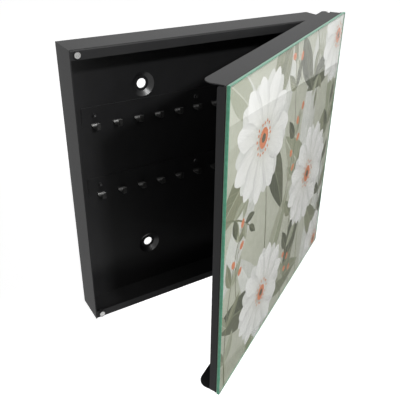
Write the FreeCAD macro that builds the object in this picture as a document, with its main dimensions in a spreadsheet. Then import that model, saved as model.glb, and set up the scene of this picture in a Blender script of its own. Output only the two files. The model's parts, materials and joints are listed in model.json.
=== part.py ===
import FreeCAD, Part
import math
import os
import Sketcher

# Wall key box with a glass door, in millimetres.
# +Z is up, the door side faces -Y and +X is the hinge side.
# The origin is the centre of the four wall screw seats, on the wall plane Y = 0.

SIZES = [
    ("box_width", 290, "outer width of the steel box"),
    ("box_height", 293.5, "outer height of the steel box"),
    ("box_depth", 36, "depth of the steel box from back panel to lips"),
    ("sheet", 1, "thickness of the box sheet"),
    ("fold_radius", 1.5, "outer radius of the folded front edges"),
    ("lip_height", 9.2, "height of the front lips"),
    ("wall_gap", 3.5, "distance from the wall to the back panel"),
    ("screw_pitch_x", 123, "distance between screw seats across"),
    ("screw_pitch_z", 190, "distance between screw seats up"),
    ("screw_hole_radius", 5, "radius of the screw holes"),
    ("dish_mouth_radius", 12.5, "radius of a screw seat at the panel"),
    ("dish_floor_radius", 7.7, "radius of the floor of a screw seat"),
    ("dish_wall", 0.5, "extra radius of the back of a screw seat"),
    ("rail_length", 256.8, "length of a hook rail"),
    ("rail_height", 19.5, "height of a hook rail without its hooks"),
    ("rail_top_upper", 80.8, "top edge of the upper hook rail"),
    ("rail_top_lower", 4.4, "top edge of the lower hook rail"),
    ("hook_pitch", 23, "distance between hooks"),
    ("hook_count", 11, "hooks on a rail"),
    ("hook_root_width", 7.6, "width of a hook where it leaves the rail"),
    ("hook_tip_width", 3.6, "width of a hook at its tip"),
    ("hook_drop", 16.1, "distance of the start of a hook's bend below the rail top"),
    ("hook_reach", 10, "distance from the rail to the outside of a hook"),
    ("hook_rise", 6.85, "height of a hook tip above the shelf"),
    ("hook_bend", 4.5, "inner radius of the bend at the rail"),
    ("tip_bend", 1.8, "inner radius of the bend at the tip"),
    ("tip_round", 0.45, "radius of the rounded edges of a hook tip"),
    ("hook_relief", 0.8, "width of the relief notch on each side of a hook"),
    ("rail_rivet_pitch", 115, "distance between the rivets of a rail"),
    ("rail_rivet_drop", 8.6, "distance of the rivets below the rail top"),
    ("rail_rivet_radius", 1.5, "shank radius of a rail rivet"),
    ("magnet_radius", 2.8, "radius of a catch magnet"),
    ("cup_radius", 3.5, "outer radius of a magnet cup"),
    ("cup_length", 5, "length of a magnet cup"),
    ("cup_floor", 1, "thickness of the floor of a magnet cup"),
    ("cup_proud", 1.3, "distance that a magnet cup stands out of its lip"),
    ("catch_side", 6.9, "distance of the magnets from the box side"),
    ("catch_edge", 4.8, "distance of the magnets from the box top or bottom"),
    ("hinge_side_gap", 2.7, "distance of the hinge axis beyond the box side"),
    ("knuckle_radius", 2.35, "outer radius of a hinge knuckle"),
    ("pin_radius", 1.3, "radius of the hinge pin"),
    ("pin_play", 0.05, "radial play of the hinge pin"),
    ("knuckle_pitch", 24, "length of a hinge knuckle with its gap"),
    ("knuckle_gap", 0.3, "gap between two knuckles"),
    ("box_knuckles", 6, "knuckles on the box leaf"),
    ("door_knuckles", 5, "knuckles on the door leaf"),
    ("leaf", 1, "thickness of a hinge leaf"),
    ("leaf_clearance", 0.3, "gap from a leaf to the other leaf's knuckles"),
    ("box_leaf_width", 24, "width of the box leaf from the axis"),
    ("door_leaf_width", 18, "width of the door leaf from the axis"),
    ("leaf_rivet_radius", 1.6, "shank radius of a hinge rivet"),
    ("leaf_rivet_pitch", 54, "distance between hinge rivets"),
    ("leaf_rivets", 5, "rivets on a hinge leaf"),
    ("box_rivet_set", 15.8, "distance of the box leaf rivets from the axis"),
    ("door_rivet_set", 11, "distance of the door leaf rivets from the axis"),
    ("open_angle", 31.3, "angle of the door from closed, in degrees"),
    ("glass_side", 300, "side of the square glass"),
    ("glass_thickness", 3, "thickness of the glass"),
    ("glass_arris", 0.4, "chamfer on the glass edges"),
    ("glass_overhang", 3.75, "distance of the glass edge beyond the hinge axis"),
    ("glass_to_axis", 40.35, "distance of the glass front from the hinge axis"),
    ("print_thickness", 0.2, "thickness of the printed film"),
    ("tape_thickness", 0.3, "thickness of the mounting tape"),
    ("tape_width", 14, "width of the mounting tape"),
    ("tape_inset", 6, "distance of the tape from the tray edge"),
    ("tray_sheet", 0.8, "thickness of the door tray sheet"),
    ("tray_inset", 0.6, "distance of the tray from the edges of the glass"),
    ("tray_fold_radius", 1, "outer radius of the tray folds"),
    ("top_flange_reach", 24.9, "reach of the top and bottom flanges from the glass front"),
    ("free_flange_reach", 10.5, "reach of the free side flange from the glass front"),
    ("hinge_flange_reach", 37, "reach of the hinge side flange from the glass front"),
    ("hinge_flange_cut", 7.6, "height taken off the deep part of the hinge side flange"),
    ("flange_corner_radius", 10.5, "corner radius of the flanges on the free side"),
    ("hinge_corner_radius", 3, "corner radius of the flanges on the hinge side"),
    ("flange_free_inset", 2, "distance of the flange ends from the glass edge, free side"),
    ("flange_hinge_inset", 4, "distance of the flange ends from the glass edge, hinge side"),
    ("side_corner_radius", 2, "corner radius of the free side flange"),
    ("flange_end_gap", 0.3, "gap between the free side flange and the other flanges"),
    ("tab_width", 8.6, "width of the corner tabs"),
    ("tab_start", 8, "start of a corner tab from the glass front"),
    ("tab_end", 24, "end of a corner tab from the glass front"),
    ("corner_rivet_side", 7, "distance of a corner rivet from the glass edge"),
    ("corner_rivet_reach", 17.7, "distance of a corner rivet from the glass front"),
    ("corner_rivet_radius", 1, "shank radius of a corner rivet"),
    ("head_ratio", 1.8, "radius of a rivet head in shank radii"),
    ("crown_ratio", 1.5, "radius of the top of a rivet head in shank radii"),
    ("low_head", 0.6, "height of the rivet heads that have little room"),
    ("high_head", 1.2, "height of the other rivet heads"),
    ("overlap", 0.2, "depth by which two shapes of one piece run into each other"),
]

# Places that several pieces share, worked out from the sizes.
BOX_REAR = "(-Size.wall_gap)"
PANEL_FRONT = "(-Size.wall_gap - Size.sheet)"
RAIL_FRONT = "(-Size.wall_gap - 2 * Size.sheet)"
BOX_FRONT = "(-Size.wall_gap - Size.box_depth)"
HALF_WIDTH = "(Size.box_width / 2)"
HALF_HEIGHT = "(Size.box_height / 2)"
HALF_GLASS = "(Size.glass_side / 2)"
HINGE_X = "(Size.box_width / 2 + Size.hinge_side_gap)"
HINGE_Y = "(-Size.wall_gap - Size.knuckle_radius + Size.leaf)"
HINGE_LENGTH = "((Size.box_knuckles + Size.door_knuckles) * Size.knuckle_pitch)"
BORE_RADIUS = "(Size.pin_radius + Size.pin_play)"

# Places on the door, from the hinge axis with the door closed.
GLASS_FRONT = "(-Size.glass_to_axis)"
PRINT_FRONT = "(-Size.glass_to_axis + Size.glass_thickness)"
TAPE_FRONT = "(-Size.glass_to_axis + Size.glass_thickness + Size.print_thickness)"
TRAY_FRONT = (
    "(-Size.glass_to_axis + Size.glass_thickness + Size.print_thickness + Size.tape_thickness)"
)
GLASS_RIGHT = "Size.glass_overhang"
GLASS_LEFT = "(Size.glass_overhang - Size.glass_side)"
TRAY_RIGHT = "(Size.glass_overhang - Size.tray_inset)"
TRAY_LEFT = "(Size.glass_overhang - Size.glass_side + Size.tray_inset)"
TRAY_TOP = "(Size.glass_side / 2 - Size.tray_inset)"
TRAY_INSIDE = "(Size.glass_side / 2 - Size.tray_inset - Size.tray_sheet)"
FLANGE_LEFT = "(Size.glass_overhang - Size.glass_side + Size.flange_free_inset)"
FLANGE_RIGHT = "(Size.glass_overhang - Size.flange_hinge_inset)"
FLANGE_END = "(-Size.glass_to_axis + Size.top_flange_reach)"
LEAF_RIGHT = "(Size.glass_overhang - Size.tray_inset - Size.tray_sheet)"

doc = FreeCAD.newDocument("wall_key_box")
size = doc.addObject("Spreadsheet::Sheet", "Size")
nodes = []


def fill_sheet():
    """Writes the driving dimensions, one a row: note, value and alias."""
    for row, (alias, value, note) in enumerate(SIZES, start=1):
        size.set("A%d" % row, note)
        size.set("B%d" % row, str(value))
        size.setAlias("B%d" % row, alias)
    doc.recompute()


def number(expression):
    """The present value of an expression on the sheet."""
    return float(size.evalExpression(str(expression)))


def new_body(name, on_door=False):
    """A sub-part. One on the door is built about the hinge axis and turned by the door angle."""
    body = doc.addObject("PartDesign::Body", name)
    body.Label = name
    body.AllowCompound = True
    if on_door:
        body.setExpression("Placement.Base.x", HINGE_X)
        body.setExpression("Placement.Base.y", HINGE_Y)
        body.setExpression("Placement.Rotation.Angle", "Size.open_angle")
    nodes.append(body)
    return body


def origin_part(body, role):
    """A plane or axis of the sub-part's own origin."""
    return [part for part in body.Origin.OriginFeatures if part.Role == role][0]


def new_sketch(body, name, plane, lift="0", across="0", along="0"):
    """A sketch on an origin plane: lift is along its normal, across and along are in the plane.

    The normals are +Z for XY, -Y for XZ and +X for YZ.
    """
    sketch = body.newObject("Sketcher::SketchObject", body.Name + "_" + name)
    sketch.AttachmentSupport = [(origin_part(body, plane + "_Plane"), "")]
    sketch.MapMode = "FlatFace"
    sketch.setExpression("AttachmentOffset.Base.x", across)
    sketch.setExpression("AttachmentOffset.Base.y", along)
    sketch.setExpression("AttachmentOffset.Base.z", lift)
    return sketch


def hold(sketch, kind, place, expression):
    """Binds the sketch x (DistanceX) or y (DistanceY) of a point to an expression."""
    value = number(expression)
    if abs(value) < 1e-9:
        axis = -2 if kind == "DistanceX" else -1
        sketch.addConstraint(Sketcher.Constraint("PointOnObject", place[0], place[1], axis))
        return
    index = sketch.addConstraint(Sketcher.Constraint(kind, -1, 1, place[0], place[1], value))
    sketch.setExpression("Constraints[%d]" % index, expression)


def draw_circle(sketch, x, y, radius):
    """A circle whose centre and radius are bound to expressions."""
    centre = FreeCAD.Vector(number(x), number(y), 0)
    circle = Part.Circle(centre, FreeCAD.Vector(0, 0, 1), number(radius))
    curve = sketch.addGeometry(circle, False)
    hold(sketch, "DistanceX", (curve, 3), x)
    hold(sketch, "DistanceY", (curve, 3), y)
    index = sketch.addConstraint(Sketcher.Constraint("Radius", curve, number(radius)))
    sketch.setExpression("Constraints[%d]" % index, radius)


def draw_corners(sketch, corners):
    """A closed outline of straight lines through corners (x, y)."""
    points = [FreeCAD.Vector(number(x), number(y), 0) for x, y in corners]
    first = sketch.GeometryCount
    for start, end in zip(points, points[1:] + points[:1]):
        sketch.addGeometry(Part.LineSegment(start, end), False)
    for step, (x, y) in enumerate(corners):
        line = first + step
        before = first + (step - 1) % len(corners)
        sketch.addConstraint(Sketcher.Constraint("Coincident", before, 2, line, 1))
        hold(sketch, "DistanceX", (line, 1), x)
        hold(sketch, "DistanceY", (line, 1), y)


def fold_arc(sketch, corner, arriving, leaving, radius):
    """Adds the arc that rounds a square corner and says which of its ends is met first."""
    centre = corner - arriving * radius + leaving * radius
    start = math.atan2(-leaving.y, -leaving.x)
    end = math.atan2(arriving.y, arriving.x)
    turns_left = arriving.x * leaving.y - arriving.y * leaving.x > 0
    if not turns_left:
        start, end = end, start
    circle = Part.Circle(centre, FreeCAD.Vector(0, 0, 1), radius)
    curve = sketch.addGeometry(Part.ArcOfCircle(circle, start, end), False)
    return curve, (1, 2) if turns_left else (2, 1)


def draw_square(sketch, sides):
    """A closed outline of upright and level lines, each corner square or rounded.

    A side is ("x" or "y", its place, the radius of the corner at its end or None), and the
    two kinds take turns.
    """
    count = len(sides)
    places = [number(side[1]) for side in sides]
    corners = []
    for step, side in enumerate(sides):
        here, following = places[step], places[(step + 1) % count]
        pair = (here, following) if side[0] == "x" else (following, here)
        corners.append(FreeCAD.Vector(pair[0], pair[1], 0))
    radii = [number(side[2]) if side[2] else 0 for side in sides]
    ways = []
    for step in range(count):
        way = corners[step] - corners[step - 1]
        ways.append(way.normalize())
    lines = []
    for step in range(count):
        start = corners[step - 1] + ways[step] * radii[step - 1]
        end = corners[step] - ways[step] * radii[step]
        lines.append(sketch.addGeometry(Part.LineSegment(start, end), False))
    for step, side in enumerate(sides):
        following = (step + 1) % count
        kind, level = ("DistanceX", "Vertical") if side[0] == "x" else ("DistanceY", "Horizontal")
        sketch.addConstraint(Sketcher.Constraint(level, lines[step]))
        hold(sketch, kind, (lines[step], 1), side[1])
        if not side[2]:
            sketch.addConstraint(
                Sketcher.Constraint("Coincident", lines[step], 2, lines[following], 1)
            )
            continue
        arc, ends = fold_arc(sketch, corners[step], ways[step], ways[following], radii[step])
        sketch.addConstraint(Sketcher.Constraint("Tangent", lines[step], 2, arc, ends[0]))
        sketch.addConstraint(Sketcher.Constraint("Tangent", arc, ends[1], lines[following], 1))
        index = sketch.addConstraint(Sketcher.Constraint("Radius", arc, radii[step]))
        sketch.setExpression("Constraints[%d]" % index, side[2])


def draw_rectangle(sketch, left, right, low, high):
    draw_square(sketch, [("y", low, None), ("x", right, None), ("y", high, None), ("x", left, None)])


def pad(body, name, sketch, length):
    """Material from the sketch, along its normal."""
    feature = body.newObject("PartDesign::Pad", body.Name + "_" + name)
    feature.Profile = sketch
    feature.setExpression("Length", length)
    return feature


def cut(body, name, sketch, length=None, forwards=False):
    """A pocket against the sketch normal, or along it, or right through both ways."""
    doc.recompute()
    before = body.Shape.Volume
    feature = body.newObject("PartDesign::Pocket", body.Name + "_" + name)
    feature.Profile = sketch
    if length is None:
        feature.Type = "ThroughAll"
        feature.SideType = "Symmetric"
    else:
        feature.setExpression("Length", length)
        feature.Reversed = forwards
    doc.recompute()
    if not body.Shape.Volume < before - 1e-6:
        raise RuntimeError(feature.Name + " takes nothing away")
    return feature


def turn(body, name, sketch, axis="H_Axis"):
    """Material from the sketch, turned about its own level or upright axis."""
    feature = body.newObject("PartDesign::Revolution", body.Name + "_" + name)
    feature.Profile = sketch
    feature.ReferenceAxis = (sketch, [axis])
    feature.Angle = 360
    return feature


def repeat(body, name, features, axis, length, count):
    """Repeats features along one origin axis; length is from the first to the last."""
    pattern = body.newObject("PartDesign::LinearPattern", body.Name + "_" + name)
    pattern.Originals = features
    pattern.Direction = (origin_part(body, axis + "_Axis"), [""])
    pattern.setExpression("Length", length)
    pattern.setExpression("Occurrences", count)
    body.Tip = pattern
    return pattern


def repeat_both_ways(pattern, body, axis, length, count):
    """Adds a second direction to a pattern."""
    pattern.Direction2 = (origin_part(body, axis + "_Axis"), [""])
    pattern.setExpression("Length2", length)
    pattern.setExpression("Occurrences2", count)


def mirror_up_down(body, name, features):
    """Mirrors features about the level plane through the origin."""
    mirror = body.newObject("PartDesign::Mirrored", body.Name + "_" + name)
    mirror.Originals = features
    mirror.MirrorPlane = (origin_part(body, "XY_Plane"), [""])
    body.Tip = mirror
    return mirror


def soften(body, name, kind, size_name, wanted):
    """A fillet or chamfer on each edge of the sub-part for which wanted(edge) is true."""
    doc.recompute()
    base = body.Tip
    names = ["Edge%d" % (n + 1) for n, edge in enumerate(base.Shape.Edges) if wanted(edge)]
    if not names:
        raise RuntimeError(body.Name + "_" + name + " finds no edge")
    feature = body.newObject("PartDesign::" + kind, body.Name + "_" + name)
    feature.Base = (base, names)
    feature.setExpression("Radius" if kind == "Fillet" else "Size", size_name)
    return feature


def same(first, second):
    return abs(first - second) < 1e-4


def leaf_rivet_levels():
    """The heights of the rivets of a hinge leaf."""
    count = int(number("Size.leaf_rivets"))
    return ["(%d - (Size.leaf_rivets - 1) / 2) * Size.leaf_rivet_pitch" % n for n in range(count)]


def rivet_section(head_face, tail_face, head_height, tail_height, radius, sign):
    """Half the section of a rivet, as (place along its axis, radius).

    sign is 1 for a head beyond the larger place on the axis, or else -1.
    """
    crown = "(%s + %d * %s)" % (head_face, sign, head_height)
    tail = "(%s - %d * %s)" % (tail_face, sign, tail_height)
    wide = "Size.head_ratio * %s" % radius
    top = "Size.crown_ratio * %s" % radius
    return [
        (crown, "0"), (crown, top), (head_face, wide), (head_face, radius),
        (tail_face, radius), (tail_face, wide), (tail, top), (tail, "0"),
    ]


def build_back_panel():
    body = new_body("back_panel")
    sketch = new_sketch(body, "sheet_outline", "XZ", lift="Size.wall_gap")
    right = HALF_WIDTH + " - Size.sheet"
    high = HALF_HEIGHT + " - Size.sheet"
    draw_rectangle(sketch, "-(%s)" % right, right, "-(%s)" % high, high)
    pad(body, "plate", sketch, "Size.sheet")

    # The mouths of the four screw seats.
    mouth = "Size.dish_mouth_radius + Size.dish_wall"
    sketch = new_sketch(body, "mouths", "XZ")
    for side in ("-", ""):
        for level in ("-", ""):
            draw_circle(
                sketch, side + "Size.screw_pitch_x / 2", level + "Size.screw_pitch_z / 2", mouth
            )
    cut(body, "mouth_cut", sketch)

    # One screw seat: a cone that reaches back to the wall, with a holed floor.
    sketch = new_sketch(
        body, "dish_section", "YZ", "-Size.screw_pitch_x / 2", along="-Size.screw_pitch_z / 2"
    )
    draw_corners(sketch, [
        (PANEL_FRONT, mouth),
        (PANEL_FRONT, "Size.dish_mouth_radius"),
        ("-Size.sheet", "Size.dish_floor_radius"),
        ("-Size.sheet", "Size.screw_hole_radius"),
        ("0", "Size.screw_hole_radius"),
        ("0", "Size.dish_floor_radius + Size.dish_wall"),
        (BOX_REAR, mouth),
    ])
    dish = turn(body, "dish", sketch)
    dishes = repeat(body, "dishes", [dish], "X", "Size.screw_pitch_x", "2")
    repeat_both_ways(dishes, body, "Z", "Size.screw_pitch_z", "2")

    # Holes for the rivets of the rails and of the hinge.
    sketch = new_sketch(body, "rivet_holes", "XZ")
    for top in ("Size.rail_top_upper", "Size.rail_top_lower"):
        for place in ("-Size.rail_rivet_pitch", "0", "Size.rail_rivet_pitch"):
            draw_circle(sketch, place, top + " - Size.rail_rivet_drop", "Size.rail_rivet_radius")
    for level in leaf_rivet_levels():
        draw_circle(sketch, HINGE_X + " - Size.box_rivet_set", level, "Size.leaf_rivet_radius")
    cut(body, "rivet_cut", sketch)


def build_lipped_panel(name, up):
    """The top (up = 1) or bottom (up = -1) panel, folded down at the front into a lip."""
    body = new_body(name)
    sketch = new_sketch(body, "fold_section", "YZ", "-(%s - Size.sheet)" % HALF_WIDTH)
    outside = "%d * %s" % (up, HALF_HEIGHT)
    inside = "%d * (%s - Size.sheet)" % (up, HALF_HEIGHT)
    lip_end = "%d * (%s - Size.lip_height)" % (up, HALF_HEIGHT)
    draw_square(sketch, [
        ("y", outside, "Size.fold_radius"),
        ("x", BOX_FRONT, None),
        ("y", lip_end, None),
        ("x", BOX_FRONT + " + Size.sheet", "Size.fold_radius - Size.sheet"),
        ("y", inside, None),
        ("x", BOX_REAR, None),
    ])
    pad(body, "folded_sheet", sketch, "Size.box_width - 2 * Size.sheet")
    sketch = new_sketch(body, "cup_seat", "XZ", lift="-(%s)" % BOX_FRONT)
    draw_circle(
        sketch,
        "-%s + Size.catch_side" % HALF_WIDTH,
        "%d * (%s - Size.catch_edge)" % (up, HALF_HEIGHT),
        "Size.cup_radius",
    )
    cut(body, "cup_hole", sketch, "2 * Size.sheet")


def build_side_panel(name, side):
    """The left (side = -1) or right (side = 1) end plate."""
    body = new_body(name)
    inner = "%s - Size.sheet" % HALF_WIDTH
    lift = inner if side > 0 else "-" + HALF_WIDTH
    sketch = new_sketch(body, "plate_outline", "YZ", lift)
    draw_rectangle(sketch, BOX_FRONT, BOX_REAR, "-" + HALF_HEIGHT, HALF_HEIGHT)
    pad(body, "plate", sketch, "Size.sheet")


def build_hook_rail(name, top):
    """A flat strip with J hooks folded out of its lower edge."""
    body = new_body(name)
    low = "(%s - Size.rail_height)" % top
    bend_top = "(%s - Size.hook_drop)" % top
    sketch = new_sketch(body, "strip_outline", "XZ", lift="-" + PANEL_FRONT)
    half = "Size.rail_length / 2"
    draw_rectangle(sketch, "-" + half, half, low, top)
    for place in ("-Size.rail_rivet_pitch", "0", "Size.rail_rivet_pitch"):
        draw_circle(sketch, place, top + " - Size.rail_rivet_drop", "Size.rail_rivet_radius")
    pad(body, "strip", sketch, "Size.sheet")

    # The notch in the strip that frees one hook, so that it can bend.
    first = "-(Size.hook_count - 1) / 2 * Size.hook_pitch"
    notch = "(Size.hook_root_width / 2 + Size.hook_relief)"
    sketch = new_sketch(body, "notch_outline", "XZ", lift="-" + RAIL_FRONT)
    draw_rectangle(
        sketch, "%s - %s" % (first, notch), "%s + %s" % (first, notch), low + " - Size.sheet", bend_top
    )
    relief = cut(body, "notch", sketch, "2 * Size.sheet")

    # One hook, seen from the side: down from the strip, out along the shelf and up to the tip.
    shelf = "(%s - Size.hook_bend)" % bend_top
    tip_outside = "(%s - Size.hook_reach)" % RAIL_FRONT
    sketch = new_sketch(body, "hook_section", "YZ", first + " - Size.hook_root_width / 2")
    draw_square(sketch, [
        ("x", PANEL_FRONT, "Size.hook_bend + Size.sheet"),
        ("y", shelf + " - Size.sheet", "Size.tip_bend + Size.sheet"),
        ("x", tip_outside, "Size.tip_round"),
        ("y", shelf + " + Size.hook_rise", "Size.tip_round"),
        ("x", tip_outside + " + Size.sheet", "Size.tip_bend"),
        ("y", shelf, "Size.hook_bend"),
        ("x", RAIL_FRONT, None),
        ("y", bend_top + " + Size.overlap", None),
    ])
    hook = pad(body, "hook", sketch, "Size.hook_root_width")

    # The hook narrows from its root to its tip.
    sketch = new_sketch(body, "hook_taper", "XY", lift=shelf)
    root_y = RAIL_FRONT + " - Size.sheet"
    waist_y = RAIL_FRONT + " - Size.hook_bend - Size.sheet"
    end_y = tip_outside + " - Size.sheet"
    for side in ("-", "+"):
        root_x = "%s %s Size.hook_root_width / 2" % (first, side)
        tip_x = "%s %s Size.hook_tip_width / 2" % (first, side)
        out_x = "%s %s Size.hook_root_width" % (first, side)
        draw_corners(sketch, [
            (root_x, root_y), (out_x, root_y), (out_x, end_y), (tip_x, end_y), (tip_x, waist_y)
        ])
    taper = cut(body, "taper_cut", sketch)
    row = "(Size.hook_count - 1) * Size.hook_pitch"
    repeat(body, "hook_row", [relief, hook, taper], "X", row, "Size.hook_count")


def build_rail_rivets(name, top):
    """Three rivets with dimpled heads, through the rail and the back panel."""
    body = new_body(name)
    level = top + " - Size.rail_rivet_drop"
    sketch = new_sketch(body, "section", "YZ", "-Size.rail_rivet_pitch", along=level)
    outline = rivet_section(
        RAIL_FRONT, BOX_REAR, "Size.low_head", "Size.low_head", "Size.rail_rivet_radius", -1
    )
    crown = outline[0][0]
    dimple = [(RAIL_FRONT, "0"), (crown, "Size.rail_rivet_radius")]
    draw_corners(sketch, dimple + outline[1:])
    rivet = turn(body, "rivet", sketch)
    repeat(body, "rivets", [rivet], "X", "2 * Size.rail_rivet_pitch", "3")


def catch_sketch(body, up):
    """A section plane through the axis of a catch magnet."""
    return new_sketch(
        body,
        "section",
        "YZ",
        "-%s + Size.catch_side" % HALF_WIDTH,
        along="%d * (%s - Size.catch_edge)" % (up, HALF_HEIGHT),
    )


def build_catch(level, up):
    """A steel cup pressed into the lip, and the magnet disc in it."""
    front = "(%s - Size.cup_proud)" % BOX_FRONT
    back = "(%s + Size.cup_length)" % front
    floor = "(%s - Size.cup_floor)" % back

    cup = new_body(level + "_magnet_cup")
    sketch = catch_sketch(cup, up)
    draw_square(sketch, [
        ("y", "Size.cup_radius", None),
        ("x", back, None),
        ("y", "0", None),
        ("x", floor, None),
        ("y", "Size.magnet_radius", None),
        ("x", front, None),
    ])
    turn(cup, "wall", sketch)

    magnet = new_body(level + "_catch_magnet")
    sketch = catch_sketch(magnet, up)
    draw_rectangle(sketch, front, floor, "0", "Size.magnet_radius")
    turn(magnet, "disc", sketch)


def add_knuckles(body, first, count, low, high, plate_edge, upright):
    """Knuckles of a leaf, each with the strip of leaf that joins it, and the bore for the pin.

    low and high are the two faces of the leaf; plate_edge is where its flat ends.
    """
    length = "Size.knuckle_pitch - Size.knuckle_gap"
    start = "%s + Size.knuckle_gap / 2" % first
    sketch = new_sketch(body, "barrel_outline", "XY", start)
    draw_circle(sketch, "0", "0", "Size.knuckle_radius")
    barrel = pad(body, "barrel", sketch, length)
    sketch = new_sketch(body, "strip_outline", "XY", start)
    if upright:
        draw_rectangle(sketch, low, high, plate_edge, "0")
    else:
        draw_rectangle(sketch, plate_edge, "0", low, high)
    strip = pad(body, "strip", sketch, length)
    row = "2 * Size.knuckle_pitch * (%s - 1)" % count
    repeat(body, "knuckles", [barrel, strip], "Z", row, count)
    sketch = new_sketch(body, "bore_outline", "XY")
    draw_circle(sketch, "0", "0", BORE_RADIUS)
    cut(body, "bore", sketch)


def build_box_leaf():
    """The hinge leaf behind the back panel, with the outer knuckles."""
    body = new_body("hinge_box_leaf")
    body.setExpression("Placement.Base.x", HINGE_X)
    body.setExpression("Placement.Base.y", HINGE_Y)
    near = "Size.knuckle_radius - Size.leaf"
    edge = "-(Size.knuckle_radius + Size.leaf_clearance)"
    sketch = new_sketch(body, "plate_outline", "XZ", lift="-Size.knuckle_radius")
    half = HINGE_LENGTH + " / 2"
    draw_rectangle(sketch, "-Size.box_leaf_width", edge, "-" + half, half)
    for level in leaf_rivet_levels():
        draw_circle(sketch, "-Size.box_rivet_set", level, "Size.leaf_rivet_radius")
    pad(body, "plate", sketch, "Size.leaf")
    add_knuckles(
        body, "-%s / 2" % HINGE_LENGTH, "Size.box_knuckles", near, "Size.knuckle_radius", edge, False
    )


def build_door_leaf():
    """The hinge leaf inside the hinge side flange of the door, with the inner knuckles."""
    body = new_body("hinge_door_leaf", on_door=True)
    near = "(%s - Size.leaf)" % LEAF_RIGHT
    edge = "-(Size.knuckle_radius + Size.leaf_clearance)"
    sketch = new_sketch(body, "plate_outline", "YZ", near)
    half = HINGE_LENGTH + " / 2"
    draw_rectangle(sketch, "-Size.door_leaf_width", edge, "-" + half, half)
    for level in leaf_rivet_levels():
        draw_circle(sketch, "-Size.door_rivet_set", level, "Size.leaf_rivet_radius")
    pad(body, "plate", sketch, "Size.leaf")
    first = "-%s / 2 + Size.knuckle_pitch" % HINGE_LENGTH
    add_knuckles(body, first, "Size.door_knuckles", near, LEAF_RIGHT, edge, True)


def build_hinge_pin():
    """The pin through all the knuckles, with a head at the top and a riveted end below."""
    body = new_body("hinge_pin")
    body.setExpression("Placement.Base.x", HINGE_X)
    body.setExpression("Placement.Base.y", HINGE_Y)
    half = HINGE_LENGTH + " / 2"
    sketch = new_sketch(body, "section", "XZ")
    draw_square(sketch, [
        ("y", "-%s - Size.leaf" % half, None),
        ("x", "Size.knuckle_radius - Size.knuckle_gap", None),
        ("y", "-" + half, None),
        ("x", "Size.pin_radius", None),
        ("y", half, None),
        ("x", "Size.knuckle_radius", None),
        ("y", "%s + Size.leaf" % half, None),
        ("x", "0", None),
    ])
    turn(body, "shaft", sketch, "V_Axis")


def build_leaf_rivets(name, on_door):
    """The rivets of a hinge leaf, with the head on the side that shows."""
    body = new_body(name, on_door)
    first = "-(Size.leaf_rivets - 1) / 2 * Size.leaf_rivet_pitch"
    radius = "Size.leaf_rivet_radius"
    if on_door:
        # Across the hinge side flange, which the sketch sees with +X to the right.
        sketch = new_sketch(body, "section", "XY", first, along="-Size.door_rivet_set")
        leaf_inside = "(%s - Size.leaf)" % LEAF_RIGHT
        outline = rivet_section(TRAY_RIGHT, leaf_inside, "Size.low_head", "Size.leaf", radius, 1)
    else:
        body.setExpression("Placement.Base.x", HINGE_X + " - Size.box_rivet_set")
        sketch = new_sketch(body, "section", "YZ", "0", along=first)
        leaf_rear = "(%s + Size.leaf)" % BOX_REAR
        outline = rivet_section(PANEL_FRONT, leaf_rear, "Size.high_head", "Size.leaf", radius, -1)
    draw_corners(sketch, outline)
    rivet = turn(body, "rivet", sketch)
    row = "(Size.leaf_rivets - 1) * Size.leaf_rivet_pitch"
    repeat(body, "rivets", [rivet], "Z", row, "Size.leaf_rivets")


def trim_flanges(body, rear):
    """Brings the four flanges of the tray from one depth to their own reach and ends."""
    beyond = "(%s + Size.sheet)" % rear
    fold_end = "(%s + 2 * Size.tray_sheet)" % TRAY_FRONT
    above = "(%s + Size.sheet)" % TRAY_TOP
    through_side = "Size.sheet + 2 * Size.tray_sheet"

    # The top and bottom flanges end here, and only the hinge side flange goes on.
    sketch = new_sketch(body, "flange_trim", "XY")
    draw_rectangle(sketch, TRAY_LEFT + " - Size.sheet", LEAF_RIGHT, FLANGE_END, beyond)
    cut(body, "flange_cut", sketch)

    # Their ends stay short of the side flanges.
    sketch = new_sketch(body, "flange_end_trim", "XZ", lift="-" + beyond)
    for low, high in ((TRAY_INSIDE, above), ("-" + above, "-" + TRAY_INSIDE)):
        draw_rectangle(sketch, TRAY_LEFT + " - Size.sheet", FLANGE_LEFT, low, high)
        draw_rectangle(sketch, FLANGE_RIGHT, TRAY_RIGHT + " + Size.sheet", low, high)
    cut(body, "flange_end_cut", sketch, "%s - %s" % (beyond, fold_end), forwards=True)

    # The free side flange is shallow and stands clear of the top and bottom flanges.
    sketch = new_sketch(body, "free_side_trim", "YZ", TRAY_LEFT + " - Size.sheet")
    end = "(%s - Size.flange_end_gap)" % TRAY_INSIDE
    draw_square(sketch, [
        ("y", "-" + TRAY_INSIDE, None),
        ("x", beyond, None),
        ("y", TRAY_INSIDE, None),
        ("x", fold_end, None),
        ("y", end, "Size.side_corner_radius"),
        ("x", "(%s + Size.free_flange_reach)" % GLASS_FRONT, "Size.side_corner_radius"),
        ("y", "-" + end, None),
        ("x", fold_end, None),
    ])
    cut(body, "free_side_cut", sketch, through_side, forwards=True)

    # The deep part of the hinge side flange is lower than the box.
    sketch = new_sketch(body, "hinge_side_trim", "YZ", LEAF_RIGHT + " - Size.sheet")
    short = "(%s - Size.hinge_flange_cut)" % TRAY_INSIDE
    draw_rectangle(sketch, FLANGE_END, beyond, short, above)
    draw_rectangle(sketch, FLANGE_END, beyond, "-" + above, "-" + short)
    cut(body, "hinge_side_cut", sketch, through_side, forwards=True)


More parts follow.
